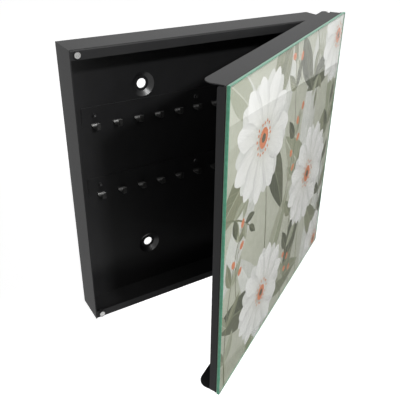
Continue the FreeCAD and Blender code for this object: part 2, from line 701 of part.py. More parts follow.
def pierce_tray(body):
    """Holes for the corner rivets and for the hinge rivets."""
    sketch = new_sketch(body, "corner_rivet_holes", "XY")
    draw_circle(
        sketch,
        "Size.glass_overhang - Size.corner_rivet_side",
        GLASS_FRONT + " + Size.corner_rivet_reach",
        "Size.corner_rivet_radius",
    )
    cut(body, "corner_rivet_cut", sketch)
    sketch = new_sketch(body, "hinge_rivet_holes", "YZ", LEAF_RIGHT + " - Size.sheet")
    for level in leaf_rivet_levels():
        draw_circle(sketch, "-Size.door_rivet_set", level, "Size.leaf_rivet_radius")
    cut(body, "hinge_rivet_cut", sketch, "Size.sheet + 2 * Size.tray_sheet", forwards=True)


def round_tray(body):
    """Rounds the folds around the plate and the corners of the top and bottom flanges."""
    front_y = number(TRAY_FRONT)
    sides = (number(TRAY_LEFT), number(TRAY_RIGHT))
    half = number(TRAY_TOP)

    def is_fold(edge):
        box = edge.BoundBox
        on_front = same(box.YMin, front_y) and same(box.YMax, front_y)
        upright = same(box.XMin, box.XMax) and any(same(box.XMin, side) for side in sides)
        level = same(box.ZMin, box.ZMax) and same(abs(box.ZMin), half)
        return on_front and edge.Length > half and (upright or level)

    def at_flange_end(place):
        """Picks the short upright edges of the top and bottom flanges at one end."""
        def wanted(edge):
            box = edge.BoundBox
            corner = same(box.YMin, number(FLANGE_END)) and same(box.XMin, number(place))
            return corner and same(edge.Length, box.ZLength)
        return wanted

    soften(body, "free_corners", "Fillet", "Size.flange_corner_radius", at_flange_end(FLANGE_LEFT))
    soften(body, "hinge_corners", "Fillet", "Size.hinge_corner_radius", at_flange_end(FLANGE_RIGHT))
    soften(body, "folds", "Fillet", "Size.tray_fold_radius", is_fold)


def build_door_tray():
    """The steel tray behind the glass: a plate with a flange on each side."""
    body = new_body("door_tray", on_door=True)
    rear = "(%s + Size.hinge_flange_reach)" % GLASS_FRONT
    sketch = new_sketch(body, "block_outline", "XZ", lift="-" + rear)
    draw_rectangle(sketch, TRAY_LEFT, TRAY_RIGHT, "-" + TRAY_TOP, TRAY_TOP)
    pad(body, "block", sketch, "%s - %s" % (rear, TRAY_FRONT))

    # The hollow leaves the plate and four flanges of one depth.
    sketch = new_sketch(body, "hollow_outline", "XZ", lift="-" + rear)
    left = TRAY_LEFT + " + Size.tray_sheet"
    draw_rectangle(sketch, left, LEAF_RIGHT, "-" + TRAY_INSIDE, TRAY_INSIDE)
    cut(body, "hollow", sketch, "%s - %s - Size.tray_sheet" % (rear, TRAY_FRONT), forwards=True)
    trim_flanges(body, rear)
    round_tray(body)

    # Tabs of the hinge side flange lie under the top flange and over the bottom one.
    sketch = new_sketch(body, "tab_outline", "XY", lift=TRAY_INSIDE + " - Size.tray_sheet")
    draw_rectangle(
        sketch,
        LEAF_RIGHT + " - Size.tab_width",
        LEAF_RIGHT + " + Size.overlap",
        GLASS_FRONT + " + Size.tab_start",
        GLASS_FRONT + " + Size.tab_end",
    )
    tab = pad(body, "tab", sketch, "Size.tray_sheet")
    mirror_up_down(body, "tabs", [tab])
    pierce_tray(body)


def build_glass():
    """The square of toughened glass, with its sharp edges taken off."""
    body = new_body("glass_panel", on_door=True)
    sketch = new_sketch(body, "outline", "XZ", lift="-" + PRINT_FRONT)
    draw_rectangle(sketch, GLASS_LEFT, GLASS_RIGHT, "-" + HALF_GLASS, HALF_GLASS)
    pad(body, "sheet", sketch, "Size.glass_thickness")
    soften(body, "arris", "Chamfer", "Size.glass_arris", lambda edge: True)


def build_print():
    """The printed film on the back of the glass."""
    body = new_body("printed_film", on_door=True)
    sketch = new_sketch(body, "outline", "XZ", lift="-" + TAPE_FRONT)
    inset = "Size.glass_arris"
    draw_rectangle(
        sketch,
        "%s + %s" % (GLASS_LEFT, inset),
        "%s - %s" % (GLASS_RIGHT, inset),
        "-(%s - %s)" % (HALF_GLASS, inset),
        "%s - %s" % (HALF_GLASS, inset),
    )
    pad(body, "film", sketch, "Size.print_thickness")


def build_tape():
    """Four strips of double-sided tape between the tray and the film."""
    body = new_body("mounting_tape", on_door=True)
    sketch = new_sketch(body, "strip_outlines", "XZ", lift="-" + TRAY_FRONT)
    left = "(%s + Size.tape_inset)" % TRAY_LEFT
    right = "(%s - Size.tape_inset)" % TRAY_RIGHT
    high = "(%s - Size.tape_inset)" % TRAY_TOP
    step = "Size.tape_width"
    draw_rectangle(sketch, left, right, "%s - %s" % (high, step), high)
    draw_rectangle(sketch, left, right, "-" + high, "-(%s - %s)" % (high, step))
    end = "(%s - %s - Size.sheet)" % (high, step)
    draw_rectangle(sketch, left, "%s + %s" % (left, step), "-" + end, end)
    draw_rectangle(sketch, "%s - %s" % (right, step), right, "-" + end, end)
    pad(body, "strips", sketch, "Size.tape_thickness")


def build_corner_rivets():
    """A rivet through the top flange and its tab, and one through the bottom pair."""
    body = new_body("tray_corner_rivets", on_door=True)
    sketch = new_sketch(
        body,
        "section",
        "XZ",
        lift="-(%s + Size.corner_rivet_reach)" % GLASS_FRONT,
        across="Size.glass_overhang - Size.corner_rivet_side",
    )
    tail_face = "(%s - Size.tray_sheet)" % TRAY_INSIDE
    outline = rivet_section(
        TRAY_TOP, tail_face, "Size.high_head", "Size.low_head", "Size.corner_rivet_radius", 1
    )
    draw_corners(sketch, [(radius, place) for place, radius in outline])
    rivet = turn(body, "rivet", sketch, "V_Axis")
    mirror_up_down(body, "rivets", [rivet])


def write_parts():
    """Checks every object, then writes one file for each sub-part."""
    doc.recompute()
    for item in doc.Objects:
        if "Invalid" in item.State or "Error" in item.State:
            raise RuntimeError(item.Name + " failed: " + ", ".join(item.State))
    for body in nodes:
        if body.Shape.isNull() or not body.Shape.isValid():
            raise RuntimeError(body.Label + " has no valid shape")
    os.makedirs("parts", exist_ok=True)
    for body in nodes:
        body.Shape.exportStep("parts/" + body.Label + ".step")
        box = body.Shape.BoundBox
        print("%-24s %d solids %9.1f mm3  x %.2f %.2f  y %.2f %.2f  z %.2f %.2f" % (
            body.Label, len(body.Shape.Solids), body.Shape.Volume,
            box.XMin, box.XMax, box.YMin, box.YMax, box.ZMin, box.ZMax,
        ))


fill_sheet()
build_back_panel()
build_lipped_panel("top_panel", 1)
build_lipped_panel("bottom_panel", -1)
build_side_panel("left_side_panel", -1)
build_side_panel("right_side_panel", 1)
build_hook_rail("upper_hook_rail", "Size.rail_top_upper")
build_hook_rail("lower_hook_rail", "Size.rail_top_lower")
build_rail_rivets("upper_rail_rivets", "Size.rail_top_upper")
build_rail_rivets("lower_rail_rivets", "Size.rail_top_lower")
build_catch("upper", 1)
build_catch("lower", -1)
build_box_leaf()
build_door_leaf()
build_hinge_pin()
build_leaf_rivets("box_leaf_rivets", False)
build_leaf_rivets("door_leaf_rivets", True)
build_door_tray()
build_glass()
build_print()
build_tape()
build_corner_rivets()
write_parts()
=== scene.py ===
import json
import math
import random

import bpy
from mathutils import Matrix, Vector
from mathutils.geometry import delaunay_2d_cdt

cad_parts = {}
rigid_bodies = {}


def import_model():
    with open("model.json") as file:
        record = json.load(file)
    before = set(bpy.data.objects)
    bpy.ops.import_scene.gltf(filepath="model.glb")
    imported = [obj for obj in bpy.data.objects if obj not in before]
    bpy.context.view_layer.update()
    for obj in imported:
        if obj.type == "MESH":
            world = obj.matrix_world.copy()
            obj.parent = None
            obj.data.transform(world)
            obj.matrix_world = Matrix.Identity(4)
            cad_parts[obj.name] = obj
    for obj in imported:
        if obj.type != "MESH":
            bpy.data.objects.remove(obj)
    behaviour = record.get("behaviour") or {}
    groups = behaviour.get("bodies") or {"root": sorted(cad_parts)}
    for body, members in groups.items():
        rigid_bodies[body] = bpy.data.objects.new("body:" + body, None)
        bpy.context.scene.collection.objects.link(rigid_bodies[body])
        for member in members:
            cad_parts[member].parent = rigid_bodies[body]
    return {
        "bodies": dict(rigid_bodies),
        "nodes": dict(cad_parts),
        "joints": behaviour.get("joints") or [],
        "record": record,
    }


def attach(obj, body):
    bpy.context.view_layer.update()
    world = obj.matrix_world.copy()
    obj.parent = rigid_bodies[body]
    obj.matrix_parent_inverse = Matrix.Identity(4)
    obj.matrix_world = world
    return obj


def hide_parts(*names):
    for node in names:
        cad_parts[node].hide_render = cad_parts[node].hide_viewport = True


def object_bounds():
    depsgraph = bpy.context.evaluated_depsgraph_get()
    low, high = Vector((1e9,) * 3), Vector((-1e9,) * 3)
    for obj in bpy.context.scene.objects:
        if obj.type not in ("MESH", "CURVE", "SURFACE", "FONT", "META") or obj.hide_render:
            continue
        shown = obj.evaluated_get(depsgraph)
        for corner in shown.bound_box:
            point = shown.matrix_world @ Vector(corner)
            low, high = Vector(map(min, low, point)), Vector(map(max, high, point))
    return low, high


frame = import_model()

cad_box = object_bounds()

MM = 0.001

# The door, from its hinge: closed it is square to the box, and at rest it stands open.
HINGE = Vector(frame["joints"][0]["pos_m"])
OPEN = -math.radians(frame["joints"][0]["range_deg"][0])
GLASS = 300 * MM
GLASS_OVERHANG = 3.75 * MM
GLASS_FRONT = 40.35 * MM
GLASS_THICKNESS = 3 * MM
FILM = 0.2 * MM
FILM_GAP = 0.02 * MM
GLASS_ARRIS = 0.4 * MM
GLASS_TINT = (0.975, 0.992, 0.982)
SQUARE_ON = 0.9
HOOK_FACE = -5.7 * MM

# The print: its surface, and the veins of its leaves as shares of a leaf.
PRINT_ROUGHNESS = 0.6
PRINT_GRAIN = 0.3 * MM
PRINT_BUMP = 0.01 * MM
VEINS = 9.0
VEIN_SLANT = 5.0
VEIN_WIDTH = 0.09
VEIN_STRENGTH = 0.45
RIB_HALF_WIDTH = 0.022

# The camera of the photograph: a 50 mm lens on a 36 mm sensor.
CAMERA_PLACE = Vector((-0.29164, -0.49559, 0.26859))
CAMERA_HEADING = math.radians(-31.86)
CAMERA_TILT = math.radians(-28.72)
CAMERA_ROLL = math.radians(0.92)
LENS = 50
SENSOR = 36
SHIFT = (-0.0122, -0.0210)

FLOOR_DROP = 0.25
FLOOR_HALF = 6.0
FLOOR_GLOW = 0.75
AMBIENT = 0.3

# Each lamp's direction from the object, distance, size and power. Only gloss sees the glint.
LAMPS = {
    "key": ((0.085, -0.84, 0.535), 4.5, 0.35, 142),
    "fill": ((0.86, -0.46, 0.24), 2.6, 0.8, 26),
    "rim": ((0.46, 0.74, 0.5), 1.8, 1.0, 1.9),
    "glint": ((-0.17, -0.71, 0.69), 3.0, 0.85, 76),
}
GLOSS_LAMP = "glint"

# The dark card lies just over the floor, and a seam runs over it in one direction. It glows,
# and its tones are painted reflection: ramps across the seam, which is at 0.5, and by how far
# back a place is.
CARD_LIFT = 0.005
CARD_OUTLINE = ((-0.15, -1.0), (3.2, -1.0), (3.2, 1.1), (0.25, 0.3), (0.05, -0.1))
CARD_SEAM_WAY = (0.521, -0.853)
CARD_SEAM = 0.5504
CARD_REFLECTION_TONES = [
    (0.32, 0.015), (0.475, 0.10), (0.485, 0.02), (0.512, 0.02), (0.522, 0.30), (0.8, 0.22),
]
CARD_FADE = [(0.05, 1.0), (0.22, 0.12)]

door_turn = Matrix.Rotation(OPEN, 4, "Z")
to_door = Matrix.Translation(HINGE) @ door_turn
door_front = (door_turn @ Vector((0, -1, 0))).normalized()


def on_glass(across, up, depth):
    """A point of the door: across from the middle of the glass, up, and behind its front."""
    return to_door @ Vector((GLASS_OVERHANG - GLASS / 2 + across, depth - GLASS_FRONT, up))


# Node helpers

class Nodes:
    """A material's node tree, with short calls for the nodes that the finishes share."""

    def __init__(self, name):
        self.material = bpy.data.materials.new(name)
        self.material.use_nodes = True
        self.tree = self.material.node_tree
        self.tree.nodes.clear()
        self.output = self.tree.nodes.new("ShaderNodeOutputMaterial")

    def link(self, source, target):
        self.tree.links.new(source, target)

    def add(self, kind, inputs=None, **settings):
        """A node with its settings and inputs; an input is a value or another node's output."""
        node = self.tree.nodes.new("ShaderNode" + kind)
        for name, value in settings.items():
            setattr(node, name, value)
        for name, value in (inputs or {}).items():
            if isinstance(value, bpy.types.NodeSocket):
                self.link(value, node.inputs[name])
            else:
                node.inputs[name].default_value = value
        return node

    def math(self, operation, first, second=0.0):
        return self.add("Math", {0: first, 1: second}, operation=operation).outputs[0]

    def place(self):
        """The point in the object's own space, which is the row frame at rest."""
        return self.add("TexCoord").outputs["Object"]

    def noise(self, scale, detail=2.0, roughness=0.5):
        """Noise whose grain is scale, in metres."""
        inputs = {"Scale": 1 / scale, "Detail": detail, "Roughness": roughness}
        return self.add("TexNoise", {"Vector": self.place(), **inputs}).outputs["Fac"]

    def ramp(self, value, stops):
        """A colour ramp through (place, grey or colour) stops."""
        node = self.add("ValToRGB", {"Fac": value})
        elements = node.color_ramp.elements
        while len(elements) < len(stops):
            elements.new(0.5)
        for element, (at, colour) in zip(elements, stops):
            element.position = at
            if not isinstance(colour, tuple):
                colour = (colour, colour, colour)
            element.color = (*colour, 1)
        return node.outputs["Color"]

    def mix_colour(self, factor, first, second, blend="MIX"):
        """A mix of two colours, each a tuple or an output."""
        node = self.tree.nodes.new("ShaderNodeMix")
        node.data_type = "RGBA"
        node.blend_type = blend
        colours = [socket for socket in node.inputs if socket.type == "RGBA"]
        pairs = ((node.inputs[0], factor), (colours[0], first), (colours[1], second))
        for socket, value in pairs:
            if isinstance(value, bpy.types.NodeSocket):
                self.link(value, socket)
            elif isinstance(value, tuple):
                socket.default_value = (*value, 1)
            else:
                socket.default_value = value
        return [socket for socket in node.outputs if socket.type == "RGBA"][0]

    def bump(self, height, distance, strength):
        node = self.add("Bump", {"Height": height, "Distance": distance, "Strength": strength})
        return node.outputs["Normal"]

    def principled(self, **inputs):
        names = {name.replace("_", " "): value for name, value in inputs.items()}
        return self.add("BsdfPrincipled", names)

    def finish(self, shader):
        self.link(shader, self.output.inputs["Surface"])
        return self.material


# Finishes

def black_powder_coat(name, rough, smooth, gloss, hook_face=None):
    """Fine textured black powder coat: small hard grains, slightly uneven in gloss.

    Key rings wear it to a shine on the hooks, in front of the plane y = hook_face.
    """
    n = Nodes(name)
    grain = n.noise(0.45 * MM, 3.0, 0.6)
    speck = n.noise(0.16 * MM, 1.0)
    cloud = n.noise(24 * MM, 3.0)
    base = n.ramp(grain, [(0.3, (0.007, 0.007, 0.0075)), (0.7, (0.011, 0.011, 0.0115))])
    cloudy = n.ramp(cloud, [(0.3, 0.85), (0.7, 1.12)])
    colour = n.mix_colour(1.0, base, cloudy, "MULTIPLY")
    height = n.math("ADD", grain, n.math("MULTIPLY", speck, 0.35))
    shader = n.principled(Metallic=0.0, IOR=1.5, Specular_IOR_Level=gloss)
    if hook_face is not None:
        along = n.add("SeparateXYZ", {0: n.place()}).outputs["Y"]
        worn = n.math("MULTIPLY", n.math("LESS_THAN", along, hook_face),
                      n.ramp(n.noise(1.5 * MM, 3.0), [(0.3, 0.6), (0.6, 1.0)]))
        colour = n.mix_colour(worn, colour, (0.095, 0.095, 0.093))
        n.link(worn, shader.inputs["Metallic"])
    n.link(colour, shader.inputs["Base Color"])
    n.link(n.ramp(grain, [(0.3, rough), (0.75, smooth)]), shader.inputs["Roughness"])
    n.link(n.bump(height, 0.03 * MM, 0.3), shader.inputs["Normal"])
    return n.finish(shader.outputs[0])


def plated_steel():
    """Bright zinc plating, lightly clouded and scratched."""
    n = Nodes("plated_steel")
    cloud = n.noise(1.2 * MM, 3.0)
    scratch = n.noise(0.2 * MM, 2.0)
    shader = n.principled(Metallic=1.0)
    n.link(n.ramp(cloud, [(0.3, (0.56, 0.56, 0.55)), (0.7, (0.74, 0.74, 0.73))]),
           shader.inputs["Base Color"])
    n.link(n.ramp(scratch, [(0.3, 0.22), (0.7, 0.38)]), shader.inputs["Roughness"])
    n.link(n.bump(scratch, 0.01 * MM, 0.3), shader.inputs["Normal"])
    return n.finish(shader.outputs[0])


def foam_tape():
    """White foam tape with fine cells."""
    n = Nodes("foam_tape")
    cells = n.noise(0.3 * MM, 2.0)
    shader = n.principled(Roughness=0.8)
    n.link(n.ramp(cells, [(0.3, (0.62, 0.62, 0.60)), (0.7, (0.78, 0.78, 0.76))]),
           shader.inputs["Base Color"])
    n.link(n.bump(cells, 0.03 * MM, 0.6), shader.inputs["Normal"])
    return n.finish(shader.outputs[0])


def clear_glass():
    """Toughened glass: clear faces, a film bonded to the back, and green ground edges."""
    n = Nodes("clear_glass")
    facing = n.add("VectorMath", {0: n.add("TexCoord").outputs["Normal"], 1: door_front},
                   operation="DOT_PRODUCT").outputs["Value"]
    is_front = n.math("GREATER_THAN", facing, SQUARE_ON)
    is_back = n.math("LESS_THAN", facing, -SQUARE_ON)

    face = n.principled(Transmission_Weight=1.0, IOR=1.52, Roughness=0.0)
    face.inputs["Base Color"].default_value = (*GLASS_TINT, 1)
    n.link(n.add("NewGeometry").outputs["True Normal"], face.inputs["Normal"])
    through = n.add("BsdfTransparent", {"Color": (*GLASS_TINT, 1)})
    light_path = n.add("LightPath")
    passing = n.math("MAXIMUM", light_path.outputs["Is Shadow Ray"],
                     light_path.outputs["Is Diffuse Ray"])
    front = n.add("MixShader", {0: passing})
    n.link(face.outputs[0], front.inputs[1])
    n.link(through.outputs[0], front.inputs[2])

    depth = n.noise(3 * MM, 2.0)
    ground = n.noise(0.25 * MM, 2.0)
    edge = n.principled(Roughness=0.3, IOR=1.52)
    n.link(n.ramp(depth, [(0.3, (0.05, 0.24, 0.14)), (0.7, (0.08, 0.32, 0.2))]),
           edge.inputs["Base Color"])
    n.link(n.bump(ground, 0.02 * MM, 0.5), edge.inputs["Normal"])

    clear_back = n.add("BsdfTransparent", {"Color": (1, 1, 1, 1)})
    sides = n.add("MixShader", {0: is_front})
    n.link(edge.outputs[0], sides.inputs[1])
    n.link(front.outputs[0], sides.inputs[2])
    whole = n.add("MixShader", {0: is_back})
    n.link(sides.outputs[0], whole.inputs[1])
    n.link(clear_back.outputs[0], whole.inputs[2])
    return n.finish(whole.outputs[0])


def tone(red, green, blue):
    """A printed colour, written as it looks on a screen and turned into linear light."""
    return tuple(((v / 255 + 0.055) / 1.055) ** 2.4 for v in (red, green, blue))


def printed(n, colour):
    """The material of a printed colour, matt and with the fine grain of the film."""
    shader = n.principled(Roughness=PRINT_ROUGHNESS)
    n.link(colour, shader.inputs["Base Color"])
    n.link(n.bump(n.noise(PRINT_GRAIN), PRINT_BUMP, 0.4), shader.inputs["Normal"])
    return n.finish(shader.outputs[0])


def ink(name, low, high):
    """A flat printed colour, a little cloudy."""
    n = Nodes(name)
    return printed(n, n.ramp(n.noise(9 * MM, 4.0, 0.6), [(0.3, low), (0.7, high)]))


def leaf_ink(name, dark_half, light_half, rib):
    """A printed leaf: one half darker than the other, with a pale rib and fine side veins."""
    n = Nodes(name)
    uv = n.add("SeparateXYZ", {0: n.add("TexCoord").outputs["UV"]}).outputs
    across = uv["Y"]
    upper = n.math("GREATER_THAN", across, 0.5)
    halves = n.mix_colour(upper, dark_half, light_half)
    off_middle = n.math("ABSOLUTE", n.math("SUBTRACT", across, 0.5))
    step = n.math("FRACT", n.math("SUBTRACT", n.math("MULTIPLY", uv["X"], VEINS),
                                  n.math("MULTIPLY", off_middle, VEIN_SLANT)))
    vein = n.math("MULTIPLY", n.math("LESS_THAN", step, VEIN_WIDTH), VEIN_STRENGTH)
    line = n.math("MAXIMUM", n.math("LESS_THAN", off_middle, RIB_HALF_WIDTH), vein)
    colour = n.mix_colour(line, halves, rib)
    cloud = n.ramp(n.noise(7 * MM, 3.0), [(0.3, 0.93), (0.7, 1.05)])
    return printed(n, n.mix_colour(1.0, colour, cloud, "MULTIPLY"))


def petal_ink(name, root, middle, tip):
    """A printed petal: shaded at its root and along one side, with fine streaks."""
    n = Nodes(name)
    uv = n.add("TexCoord").outputs["UV"]
    ways = n.add("SeparateXYZ", {0: uv}).outputs
    stretch = n.add("Mapping", {"Vector": uv, "Scale": (1.1, 9.0, 1.0)}).outputs["Vector"]
    streak = n.add("TexNoise", {"Vector": stretch, "Scale": 1.0, "Detail": 3.0}).outputs["Fac"]
    shade = n.ramp(ways["X"], [(0.12, root), (0.42, middle), (0.85, tip)])
    side = n.ramp(ways["Y"], [(0.03, 0.78), (0.26, 1.0)])
    lines = n.ramp(streak, [(0.3, 0.88), (0.55, 1.0)])
    folds = n.mix_colour(1.0, side, lines, "MULTIPLY")
    return printed(n, n.mix_colour(1.0, shade, folds, "MULTIPLY"))


GROUND, PALE, SAGE, OLIVE, DEEP, PETAL, SHADED, ORANGE, EYE = range(9)


def print_inks():
    """The colours of the print, in the order of the numbers above."""
    return [
        ink("print_ground", tone(176, 178, 160), tone(187, 188, 172)),
        leaf_ink("print_pale_leaf", tone(196, 197, 189), tone(206, 207, 200), tone(214, 214, 208)),
        leaf_ink("print_sage_leaf", tone(144, 148, 122), tone(158, 161, 138), tone(184, 186, 168)),
        leaf_ink("print_olive_leaf", tone(114, 117, 90), tone(130, 132, 105), tone(160, 162, 138)),
        leaf_ink("print_deep_leaf", tone(70, 74, 52), tone(88, 91, 67), tone(122, 125, 102)),
        petal_ink("print_petal", tone(198, 198, 187), tone(228, 227, 222), tone(234, 233, 230)),
        petal_ink("print_shaded_petal",
                  tone(176, 178, 166), tone(206, 206, 200), tone(216, 216, 211)),
        ink("print_orange", tone(205, 112, 66), tone(222, 132, 82)),
        ink("print_eye", tone(66, 70, 54), tone(84, 86, 66)),
    ]


# The picture

PETAL_FORM = (1.45, 0.62)
LEAF_FORM = (0.85, 1.0)
ROUND_FORM = (1.0, 0.5)


class Picture:
    """Flat shapes that overlap, in mm across and up from the middle of the glass."""

    def __init__(self, half):
        self.shapes = []
        self.add_shape([(-half, -half), (half, -half), (half, half), (-half, half)], GROUND, None)

    def add_shape(self, outline, colour, frame):
        self.shapes.append((outline, colour, frame))

    def blade(self, colour, base, angle, length, width, bend=0.0, form=LEAF_FORM, steps=18):
        """A petal, leaf or dot: it grows from base at an angle in degrees, and bends to a side."""
        along = Vector((math.cos(math.radians(angle)), math.sin(math.radians(angle))))
        aside = Vector((-along.y, along.x))
        skew, fullness = form
        sides = ([], [])
        for step in range(steps + 1):
            t = (1 - math.cos(math.pi * step / steps)) / 2
            half = width / 2 * max(0.0, math.sin(math.pi * t ** skew)) ** fullness
            middle = Vector(base) + along * (length * t) + aside * (bend * t * t)
            sides[0].append(middle - aside * half)
            sides[1].append(middle + aside * half)
        outline = sides[0] + sides[1][-2:0:-1]
        frame = (Vector(base), along, length, width, bend)
        self.add_shape([tuple(p) for p in outline], colour, frame)

    def stem(self, colour, start, control, end, width):
        """A curved stem that thins towards its end."""
        start, control, end = Vector(start), Vector(control), Vector(end)
        steps = 20
        sides = ([], [])
        for step in range(steps + 1):
            t = step / steps
            point = start * (1 - t) ** 2 + control * (2 * t * (1 - t)) + end * t ** 2
            way = ((control - start) * (1 - t) + (end - control) * t).normalized()
            half = width / 2 * (1 - 0.6 * t)
            aside = Vector((-way.y, way.x)) * half
            sides[0].append(point - aside)
            sides[1].append(point + aside)
        self.add_shape([tuple(p) for p in sides[0] + sides[1][::-1]], colour, None)

    def dot(self, colour, centre, radius, angle=0.0, stretch=1.0):
        length = 2 * radius * stretch
        way = Vector((math.cos(math.radians(angle)), math.sin(math.radians(angle))))
        base = Vector(centre) - way * (length / 2)
        self.blade(colour, base, angle, length, 2 * radius, form=ROUND_FORM, steps=10)

    def daisy(self, centre, radius, petals, turn, rng):
        """A double row of petals round an orange eye."""
        step = 360 / petals
        for row, colour in enumerate((SHADED, PETAL)):
            for count in range(petals):
                angle = turn + step * (count + 0.5 * (1 - row)) + rng.uniform(-3, 3)
                length = radius * rng.uniform(0.9, 1.0) * (1.0 if row else 0.97)
                width = math.tau * 0.8 * radius / petals * rng.uniform(0.86, 0.98)
                bend = radius * rng.uniform(-0.07, 0.07)
                self.blade(colour, centre, angle, length, width, bend, PETAL_FORM)
        self.dot(SHADED, centre, radius * 0.2)
        for count in range(16):
            angle = math.tau * count / 16 + rng.uniform(-0.08, 0.08)
            reach = radius * rng.uniform(0.2, 0.26)
            place = (centre[0] + reach * math.cos(angle), centre[1] + reach * math.sin(angle))
            self.dot(ORANGE, place, radius * 0.024)
        self.dot(ORANGE, centre, radius * 0.155)
        self.dot(EYE, centre, radius * 0.07)

    def branch(self, start, control, end, pairs, leaf, colours, rng, stem_colour=OLIVE):
        """A stem with leaves in pairs; leaf is their length and width."""
        self.stem(stem_colour, start, control, end, 2.6)
        start, control, end = Vector(start), Vector(control), Vector(end)
        for count in range(pairs):
            t = (count + 0.8) / (pairs + 0.3)
            point = start * (1 - t) ** 2 + control * (2 * t * (1 - t)) + end * t ** 2
            way = (control - start) * (1 - t) + (end - control) * t
            heading = math.degrees(math.atan2(way.y, way.x))
            size = 1.0 - 0.35 * t
            for side in (-1, 1):
                angle = heading + side * rng.uniform(38, 54)
                self.blade(
                    colours[(count + (side > 0)) % len(colours)], tuple(point), angle,
                    leaf[0] * size * rng.uniform(0.88, 1.08), leaf[1] * size,
                    -side * leaf[0] * rng.uniform(0.06, 0.16),
                )
        tip = (end - control).normalized()
        self.blade(colours[0], tuple(end - tip * 2), math.degrees(math.atan2(tip.y, tip.x)),
                   leaf[0] * 0.7, leaf[1] * 0.6)

    def berries(self, start, control, end, count, rng):
        """A thin stem with oval orange berries on short stalks."""
        self.stem(OLIVE, start, control, end, 1.6)
        start, control, end = Vector(start), Vector(control), Vector(end)
        for number in range(count):
            t = 0.35 + 0.65 * number / (count - 1)
            point = start * (1 - t) ** 2 + control * (2 * t * (1 - t)) + end * t ** 2
            way = (control - start) * (1 - t) + (end - control) * t
            side = 1 if number % 2 else -1
            angle = math.atan2(way.y, way.x) + side * rng.uniform(0.5, 0.9) * (number < count - 1)
            tip = point + Vector((math.cos(angle), math.sin(angle))) * rng.uniform(6, 9)
            self.stem(OLIVE, tuple(point), tuple((point + tip) / 2), tuple(tip), 1.0)
            centre = tip + (tip - point).normalized() * 3
            self.dot(ORANGE, tuple(centre), 3.3, math.degrees(angle), 1.35)

    def cover(self):
        """The plane cut into triangles, each with the number of the shape that shows there."""
        points, faces = [], []
        for outline, _, _ in self.shapes:
            sides = zip(outline, outline[1:] + outline[:1])
            area = sum(a[0] * b[1] - a[1] * b[0] for a, b in sides)
            ring = outline if area > 0 else outline[::-1]
            faces.append(list(range(len(points), len(points) + len(ring))))
            points.extend(Vector(p) for p in ring)
        found = delaunay_2d_cdt(points, [], faces, 1, 1e-4, True)
        places, triangles, owners = found[0], found[2], found[5]
        kept = [(tri, max(own)) for tri, own in zip(triangles, owners) if 0 in own]
        used = sorted({corner for tri, _ in kept for corner in tri})
        number = {corner: i for i, corner in enumerate(used)}
        kept = [(tuple(number[corner] for corner in tri), owner) for tri, owner in kept]
        return [places[corner] for corner in used], kept

    def uv(self, place, frame):
        """How far along and across its shape a place is, each from 0 to 1."""
        if frame is None:
            return 0.5, 0.3
        base, along, length, width, bend = frame
        offset = place - base
        t = offset.dot(along) / length
        across = (offset.dot(Vector((-along.y, along.x))) - bend * t * t) / width
        return t, across + 0.5


def draw_picture():
    """Daisies, leafy branches and berry sprigs on a sage ground."""
    rng = random.Random(21)
    picture = Picture((GLASS / 2 - GLASS_ARRIS) / MM)
    for base, angle, length, width, bend in (
        ((-150, -40), 62, 150, 40, -22), ((-40, -150), 112, 170, 38, 30),
        ((36, -10), 74, 165, 44, 26), ((150, -90), 128, 150, 42, -20),
        ((-120, 150), -70, 120, 34, 24), ((80, -150), 70, 120, 36, -18),
        ((-10, 150), -104, 110, 30, -20),
    ):
        picture.blade(PALE, base, angle, length, width, bend)
    for base, angle, length, width, bend, colour in (
        ((-84, 70), 196, 92, 36, 16, OLIVE), ((-70, 76), -48, 112, 34, -20, DEEP),
        ((-60, 96), 62, 104, 36, 18, OLIVE), ((66, -8), 148, 112, 38, -16, SAGE),
        ((60, -26), 236, 118, 38, 20, DEEP), ((82, 6), 40, 104, 36, -16, OLIVE),
        ((-46, -84), 66, 100, 32, -14, SAGE), ((-66, -100), 150, 104, 40, 18, DEEP),
        ((-40, -104), -22, 110, 38, 18, OLIVE), ((-60, -112), 248, 84, 34, 10, SAGE),
        ((128, 120), 206, 96, 34, -16, DEEP), ((134, 112), 258, 92, 34, 16, SAGE),
        ((130, -132), 118, 92, 34, 14, OLIVE), ((12, 152), -64, 78, 28, 12, DEEP),
        ((-20, 152), -118, 70, 26, -10, OLIVE), ((-152, 152), -30, 76, 30, -12, SAGE),
    ):
        picture.blade(colour, base, angle, length, width, bend)
    picture.branch((8, -152), (34, -40), (-6, 132), 6, (44, 17), (OLIVE, SAGE, DEEP), rng)
    picture.branch((-138, -152), (-150, -60), (-112, 24), 4, (40, 15), (SAGE, OLIVE), rng)
    picture.branch((152, -130), (112, -60), (134, 50), 4, (42, 17), (DEEP, OLIVE), rng, DEEP)
    picture.branch((52, 152), (74, 120), (70, 84), 2, (34, 13), (OLIVE, SAGE), rng)
    picture.branch((-152, 40), (-120, 30), (-96, 8), 2, (30, 12), (DEEP, SAGE), rng)
    picture.stem(OLIVE, (-62, -152), (-40, -20), (-76, 84), 3.4)
    picture.stem(SAGE, (66, -152), (44, -80), (68, -14), 3.4)
    picture.daisy((134, 128), 54, 10, 12, rng)
    picture.daisy((-54, -96), 58, 11, 5, rng)
    picture.daisy((70, -14), 64, 12, 9, rng)
    picture.daisy((-76, 84), 62, 11, 0, rng)
    picture.daisy((136, -140), 48, 10, 20, rng)
    picture.berries((-8, -20), (6, 30), (24, 72), 5, rng)
    picture.berries((-118, -60), (-128, -30), (-116, 8), 4, rng)
    picture.berries((14, 110), (6, 128), (-12, 146), 3, rng)
    picture.berries((40, -152), (30, -120), (14, -96), 4, rng)
    return picture


